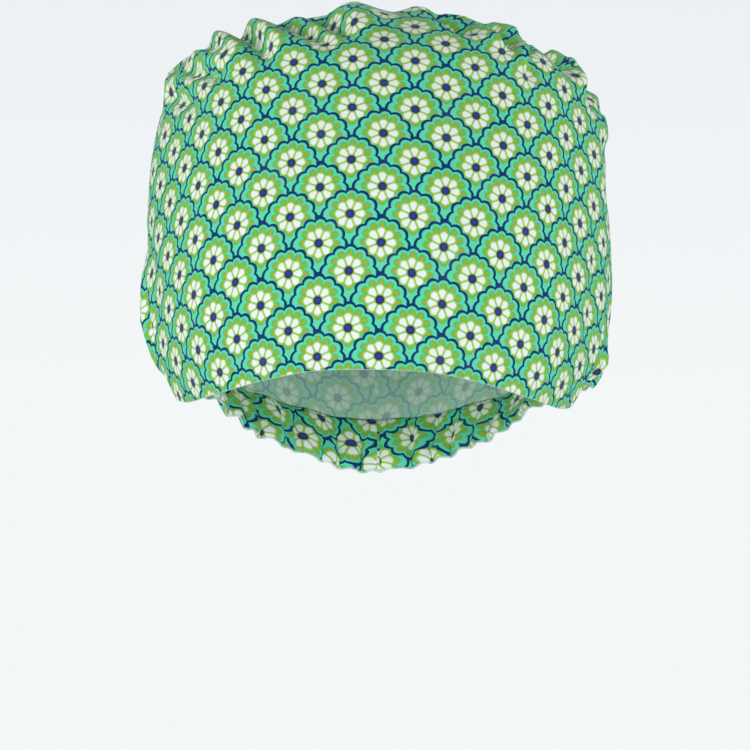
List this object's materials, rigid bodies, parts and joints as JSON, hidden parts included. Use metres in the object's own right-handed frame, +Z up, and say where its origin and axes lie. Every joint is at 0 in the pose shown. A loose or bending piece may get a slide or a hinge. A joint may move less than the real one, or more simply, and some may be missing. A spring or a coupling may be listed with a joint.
{
  "type": "surgical scrub cap",
  "caption": "Tall soft cotton scrub cap in its worn form: printed wall gathered to an oval top, turned brow hem, gathered elastic casing round the nape.",
  "frame": {"origin": "on the middle plane, level with the middle of the brow edge and halfway from brow to nape: the place where a head goes in", "axes": "+Z up, the brow faces -Y, +X on the right hand of someone facing the cap"},
  "size_m": [0.178, 0.2055, 0.1757],
  "materials": {
    "wall_cotton": "printed plain-weave cotton, small scalloped flower repeat in mint, olive, navy and white, matt",
    "top_cotton": "the same printed plain-weave cotton, matt",
    "hem_cotton": "turned-in cotton with the print's right side showing inside, matt",
    "casing_cotton": "gathered cotton over elastic, matt"
  },
  "bodies": {
    "root": {"crown_wall": "wall_cotton", "crown_top": "top_cotton", "brow_hem": "hem_cotton", "nape_casing": "casing_cotton"}
  },
  "joints": []
}
